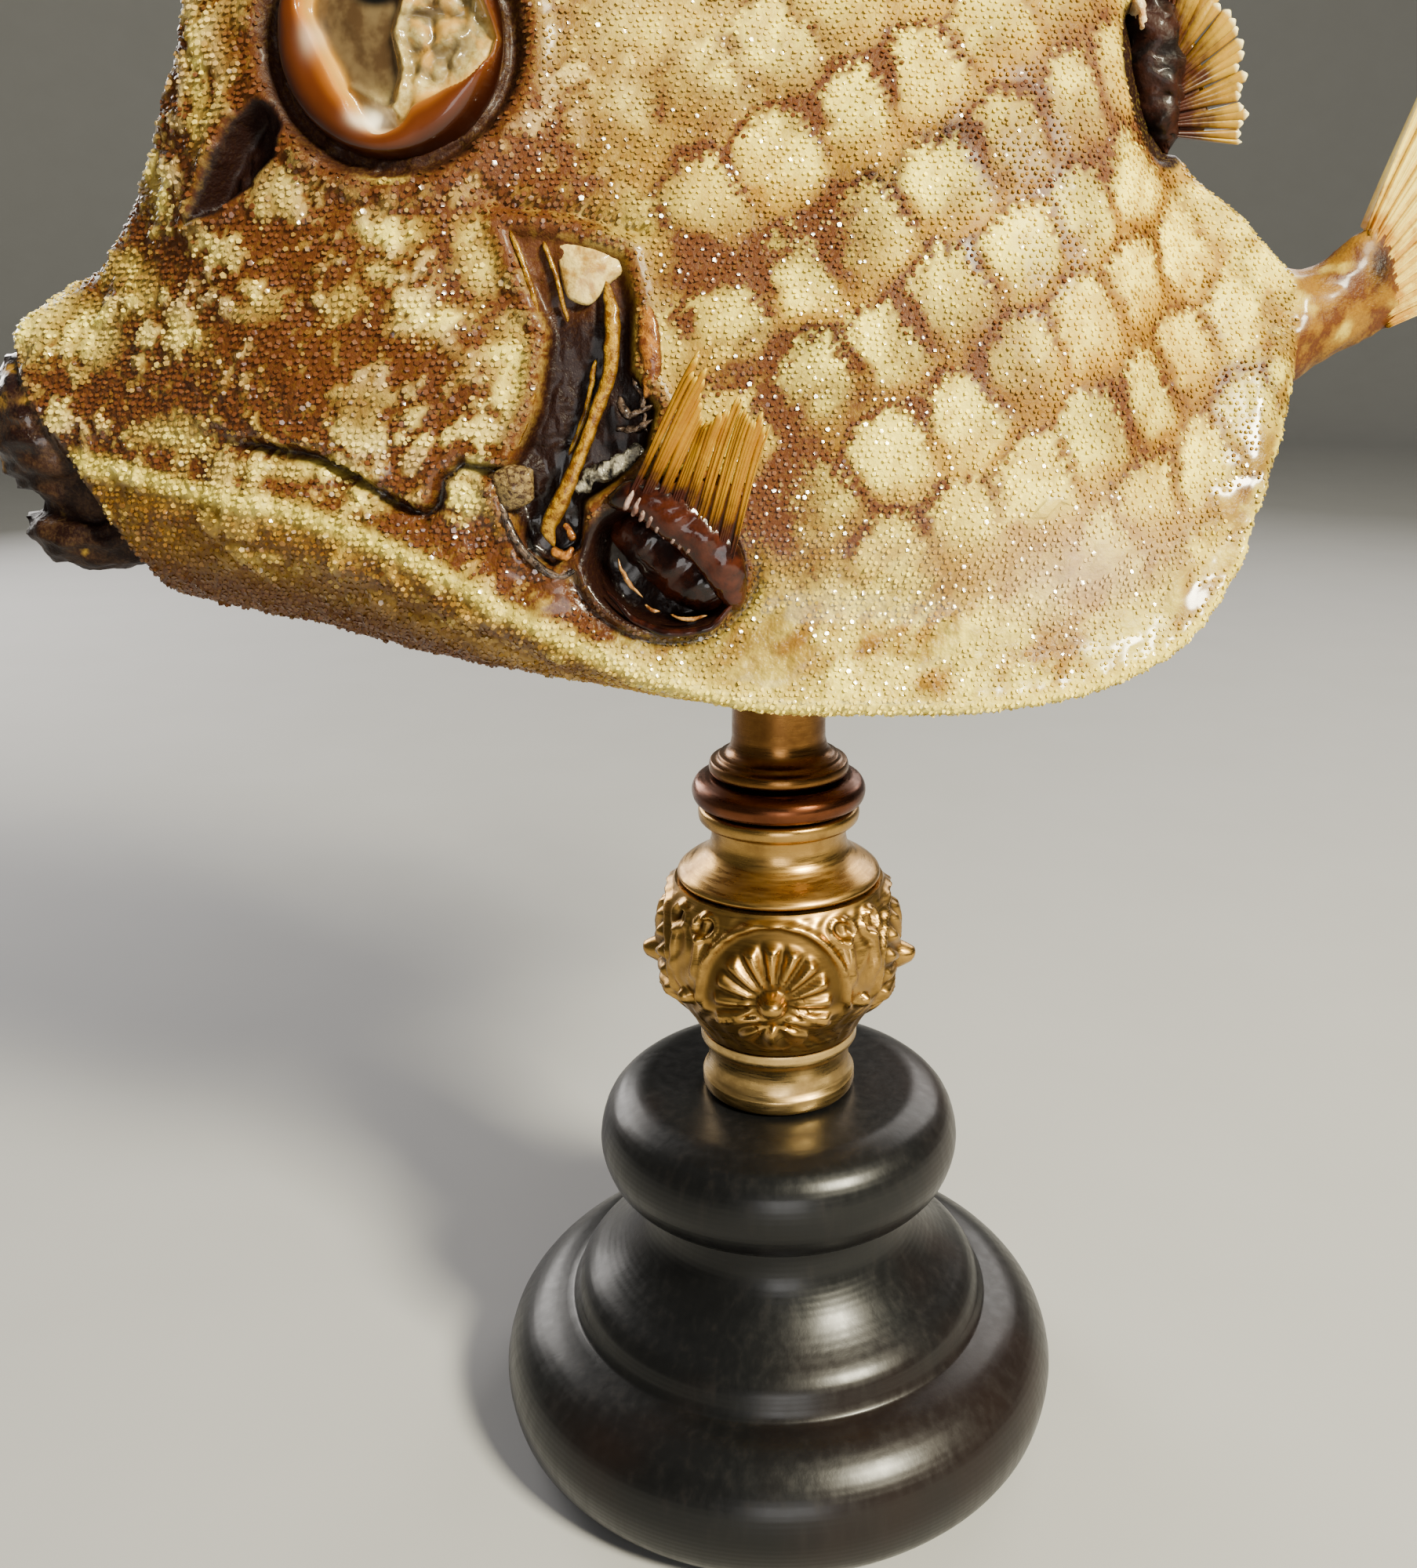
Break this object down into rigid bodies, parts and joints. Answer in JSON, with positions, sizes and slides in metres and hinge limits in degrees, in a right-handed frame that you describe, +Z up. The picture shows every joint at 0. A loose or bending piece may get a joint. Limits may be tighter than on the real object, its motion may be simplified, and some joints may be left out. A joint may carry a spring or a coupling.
{
  "type": "mounted dried trunkfish",
  "caption": "Dried, varnished smooth trunkfish with a honeycomb of bony plates, held on a brass baluster stem and a turned black wooden foot.",
  "frame": {"origin": "on the stem's axis, at the underside of the wooden foot", "axes": "+Z up, -X towards the fish's snout, +X towards its tail, -Y towards its left flank"},
  "size_m": [0.1823, 0.0736, 0.1975],
  "materials": {
    "skin": "dried granular fish skin under glossy varnish, tan plates with brown borders",
    "lip": "dried dark leathery lips, satin",
    "eye": "dried amber eye with a wrinkled membrane, glossy",
    "fin": "dried amber fin rays and membrane, varnished",
    "brass": "cast brass, worn bright on the high places and dark in the hollows",
    "ring": "dark red-brown lacquered ring, glossy",
    "wood": "ebonised turned wood, satin"
  },
  "bodies": {
    "root": {"foot": "wood", "stem_collar": "brass", "stem_ball": "brass", "stem_neck": "brass", "stem_ring": "ring", "stem_rod": "brass", "head": "skin", "trunk": "skin", "tail_stalk": "skin", "upper_lip": "lip", "lower_lip": "lip", "eye_left": "eye", "eye_right": "eye", "pectoral_fin_left": "fin", "pectoral_fin_right": "fin", "dorsal_fin": "fin", "anal_fin": "fin", "tail_fin": "fin"}
  },
  "joints": []
}
